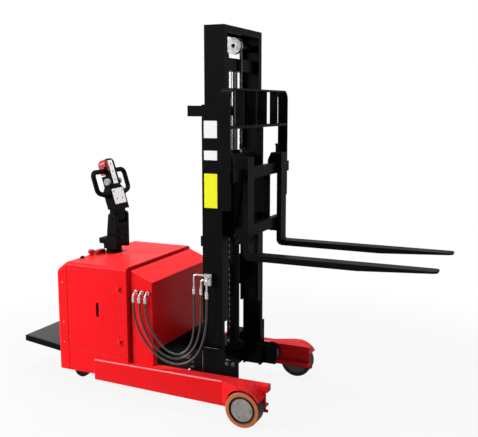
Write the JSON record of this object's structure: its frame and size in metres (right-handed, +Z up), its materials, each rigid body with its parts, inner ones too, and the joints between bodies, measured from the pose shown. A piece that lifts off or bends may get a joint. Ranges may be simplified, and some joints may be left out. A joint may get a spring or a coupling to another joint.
{
  "type": "electric reach stacker",
  "caption": "Electric reach stacker: red hood with tiller and fold-up platform, straddle legs with load wheels, and a telescopic mast that reaches and lifts a pair of forks.",
  "frame": {"origin": "on the ground, under the middle of the overall length and width", "axes": "+X towards the fork tips, +Y to the operator's left, +Z up"},
  "size_m": [2.7462, 0.978, 2.276],
  "materials": {
    "red_paint": "gloss",
    "black_paint": "gloss",
    "black_casting": "satin",
    "black_plastic": "matte",
    "grey_plastic": "matte",
    "red_plastic": "gloss",
    "grey_rubber": "matte",
    "black_tyre": "matte",
    "orange_tyre": "satin",
    "grey_hub": "satin",
    "battery_case": "matte",
    "hydraulic_body": "satin",
    "grey_iron": "satin",
    "chrome_rod": "mirror",
    "bright_steel": "brushed",
    "chain_steel": "oiled",
    "zinc_fitting": "plated",
    "hose_rubber": "matte"
  },
  "bodies": {
    "chassis": {"chassis_frame": "black_paint", "leg_right": "red_paint", "leg_left": "red_paint", "hood": "red_paint", "rear_cover": "red_paint", "front_box": "red_paint", "battery": "battery_case", "hydraulic_unit": "hydraulic_body", "reach_cylinders": "black_paint", "box_fittings": "zinc_fitting", "hose_outer": "hose_rubber", "hose_middle": "hose_rubber", "hose_inner": "hose_rubber"},
    "door": {"side_door": "red_paint"},
    "stop": {"e_stop_knob": "red_plastic"},
    "plug": {"power_plug": "red_plastic"},
    "key": {"key_switch": "black_plastic"},
    "platform": {"platform_deck": "black_paint", "platform_mat": "grey_rubber"},
    "caster_right": {"caster_fork_right": "black_paint"},
    "caster_left": {"caster_fork_left": "black_paint"},
    "caster_roll_right": {"caster_wheel_right": "black_tyre"},
    "caster_roll_left": {"caster_wheel_left": "black_tyre"},
    "steering": {"drive_gearbox": "grey_iron", "drive_motor": "grey_iron", "tiller_base": "black_casting"},
    "drive_roll": {"drive_wheel": "black_tyre"},
    "tiller": {"tiller_arm": "black_casting", "tiller_head": "black_plastic"},
    "belly": {"belly_button": "red_plastic"},
    "thumb_throttle": {"throttle": "grey_plastic"},
    "rocker": {"lift_rocker": "grey_plastic"},
    "load_roll_right": {"load_hub_right": "grey_hub", "load_tyre_right": "orange_tyre"},
    "load_roll_left": {"load_hub_left": "grey_hub", "load_tyre_left": "orange_tyre"},
    "mast_base": {"reach_carriage": "black_paint", "outer_mast": "black_paint", "lift_cylinder": "black_paint", "mast_fittings": "zinc_fitting", "reach_rods": "chrome_rod", "lift_chain_rear": "chain_steel"},
    "rail_rollers_front": {"reach_rollers_front": "bright_steel"},
    "rail_rollers_rear": {"reach_rollers_rear": "bright_steel"},
    "mast_stage": {"inner_mast": "black_paint", "lift_rod": "chrome_rod", "lift_chain_front": "chain_steel"},
    "stage_rollers_lower": {"inner_rollers_lower": "bright_steel"},
    "stage_rollers_upper": {"inner_rollers_upper": "bright_steel"},
    "pulley": {"chain_pulley": "bright_steel"},
    "carriage": {"lift_carriage": "black_paint", "tilt_cylinders": "black_paint"},
    "lift_rollers_lower": {"carriage_rollers_lower": "bright_steel"},
    "lift_rollers_upper": {"carriage_rollers_upper": "bright_steel"},
    "fork_holder": {"fork_frame": "black_paint", "load_backrest": "black_paint"},
    "tilt_rod_pair": {"tilt_rods": "chrome_rod"},
    "fork_arm_right": {"fork_right": "black_paint"},
    "fork_arm_left": {"fork_left": "black_paint"}
  },
  "joints": [
    {"name": "door_hinge", "type": "hinge", "parent": "chassis", "child": "door", "pos_m": [-0.51515, -0.416, 0.5355], "axis": [0, 0, 1], "range_deg": [0, 110]},
    {"name": "stop_press", "type": "slide", "parent": "chassis", "child": "stop", "axis": [0, 0, -1], "range_m": [0, 0.005], "stiffness_N_per_m": 2000, "springref_m": -0.002},
    {"name": "plug_pull", "type": "slide", "parent": "chassis", "child": "plug", "axis": [0, 0, 1], "range_m": [0, 0.015]},
    {"name": "key_turn", "type": "hinge", "parent": "chassis", "child": "key", "pos_m": [-0.88815, -0.27, 0.842], "axis": [0, 0, 1], "range_deg": [0, 90]},
    {"name": "platform_fold", "type": "hinge", "parent": "chassis", "child": "platform", "pos_m": [-1.03315, 0, 0.2075], "axis": [0, 1, 0], "range_deg": [0, 82]},
    {"name": "caster_swivel_right", "type": "hinge", "parent": "chassis", "child": "caster_right", "pos_m": [-0.94515, -0.19, 0.131], "axis": [0, 0, 1], "continuous": true},
    {"name": "caster_spin_right", "type": "hinge", "parent": "caster_right", "child": "caster_roll_right", "pos_m": [-0.97315, -0.19, 0.0575], "axis": [0, 1, 0], "continuous": true},
    {"name": "load_spin_right", "type": "hinge", "parent": "chassis", "child": "load_roll_right", "pos_m": [0.34585, -0.402, 0.105], "axis": [0, 1, 0], "continuous": true},
    {"name": "caster_swivel_left", "type": "hinge", "parent": "chassis", "child": "caster_left", "pos_m": [-0.94515, 0.19, 0.131], "axis": [0, 0, 1], "continuous": true},
    {"name": "caster_spin_left", "type": "hinge", "parent": "caster_left", "child": "caster_roll_left", "pos_m": [-0.97315, 0.19, 0.0575], "axis": [0, 1, 0], "continuous": true},
    {"name": "load_spin_left", "type": "hinge", "parent": "chassis", "child": "load_roll_left", "pos_m": [0.34585, 0.402, 0.105], "axis": [0, 1, 0], "continuous": true},
    {"name": "steer", "type": "hinge", "parent": "chassis", "child": "steering", "pos_m": [-0.82315, 0, 0.131], "axis": [0, 0, 1], "range_deg": [-90, 90]},
    {"name": "drive_spin", "type": "hinge", "parent": "steering", "child": "drive_roll", "pos_m": [-0.82315, 0, 0.115], "axis": [0, 1, 0], "continuous": true},
    {"name": "tiller_tilt", "type": "hinge", "parent": "steering", "child": "tiller", "pos_m": [-0.78815, 0, 1.077], "axis": [0, -1, 0], "range_deg": [0, 75], "stiffness_Nm_per_rad": 40, "springref_deg": -28.65},
    {"name": "belly_press", "type": "slide", "parent": "tiller", "child": "belly", "axis": [0.2924, 0, -0.9563], "range_m": [0, 0.007], "stiffness_N_per_m": 1500, "springref_m": -0.004},
    {"name": "throttle_turn", "type": "hinge", "parent": "tiller", "child": "thumb_throttle", "pos_m": [-0.81885, 0, 1.32101], "axis": [0, 1, 0], "range_deg": [-30, 30], "stiffness_Nm_per_rad": 1.5},
    {"name": "rocker_tip", "type": "hinge", "parent": "tiller", "child": "rocker", "pos_m": [-0.84934, 0, 1.29077], "axis": [0, 1, 0], "range_deg": [-8, 8], "stiffness_Nm_per_rad": 0.6},
    {"name": "mast_reach", "type": "slide", "parent": "chassis", "child": "mast_base", "axis": [1, 0, 0], "range_m": [-0.225, 0.18], "deforming": ["hose_outer", "hose_middle", "hose_inner"]},
    {"name": "rail_roll_rear", "type": "hinge", "parent": "mast_base", "child": "rail_rollers_rear", "pos_m": [0.04685, 0, 0.17], "axis": [0, 1, 0], "range_deg": [-244, 196]},
    {"name": "rail_roll_front", "type": "hinge", "parent": "mast_base", "child": "rail_rollers_front", "pos_m": [0.19285, 0, 0.17], "axis": [0, 1, 0], "range_deg": [-244, 196]},
    {"name": "mast_lift", "type": "slide", "parent": "mast_base", "child": "mast_stage", "axis": [0, 0, 1], "range_m": [-0.448, 0.45], "deforming": ["lift_chain_rear"]},
    {"name": "stage_roll_lower", "type": "hinge", "parent": "mast_stage", "child": "stage_rollers_lower", "pos_m": [0.07685, 0, 0.69], "axis": [0, 1, 0], "range_deg": [-525, 525]},
    {"name": "stage_roll_upper", "type": "hinge", "parent": "mast_stage", "child": "stage_rollers_upper", "pos_m": [0.07685, 0, 1.23], "axis": [0, 1, 0], "range_deg": [-525, 525]},
    {"name": "pulley_spin", "type": "hinge", "parent": "mast_stage", "child": "pulley", "pos_m": [0.07685, 0, 2.176], "axis": [0, 1, 0], "range_deg": [-592, 592]},
    {"name": "carriage_lift", "type": "slide", "parent": "mast_stage", "child": "carriage", "axis": [0, 0, 1], "range_m": [-0.448, 0.45], "deforming": ["lift_chain_front"]},
    {"name": "lift_roll_lower", "type": "hinge", "parent": "carriage", "child": "lift_rollers_lower", "pos_m": [0.07685, 0, 1.13], "axis": [0, 1, 0], "range_deg": [-525, 525]},
    {"name": "lift_roll_upper", "type": "hinge", "parent": "carriage", "child": "lift_rollers_upper", "pos_m": [0.07685, 0, 1.48], "axis": [0, 1, 0], "range_deg": [-525, 525]},
    {"name": "fork_tilt", "type": "hinge", "parent": "carriage", "child": "fork_holder", "pos_m": [0.20185, 0, 1.38], "axis": [0, -1, 0], "range_deg": [-3, 5]},
    {"name": "tilt_stroke", "type": "slide", "parent": "carriage", "child": "tilt_rod_pair", "axis": [1, 0, 0], "range_m": [-0.0156, 0.0258]},
    {"name": "fork_slide_right", "type": "slide", "parent": "fork_holder", "child": "fork_arm_right", "axis": [0, 1, 0], "range_m": [0, 0.2]},
    {"name": "fork_slide_left", "type": "slide", "parent": "fork_holder", "child": "fork_arm_left", "axis": [0, -1, 0], "range_m": [0, 0.2]}
  ],
  "couplings": [
    {"joint": "rail_roll_rear", "follows": "mast_reach", "rad_per_m": 18.622},
    {"joint": "rail_roll_front", "follows": "mast_reach", "rad_per_m": 18.622},
    {"joint": "carriage_lift", "follows": "mast_lift", "ratio": 1},
    {"joint": "stage_roll_lower", "follows": "mast_lift", "rad_per_m": -20.121},
    {"joint": "stage_roll_upper", "follows": "mast_lift", "rad_per_m": 20.121},
    {"joint": "lift_roll_lower", "follows": "mast_lift", "rad_per_m": -20.121},
    {"joint": "lift_roll_upper", "follows": "mast_lift", "rad_per_m": 20.121},
    {"joint": "pulley_spin", "follows": "mast_lift", "rad_per_m": -22.727},
    {"joint": "tilt_stroke", "follows": "fork_tilt", "m_per_rad": 0.29}
  ]
}
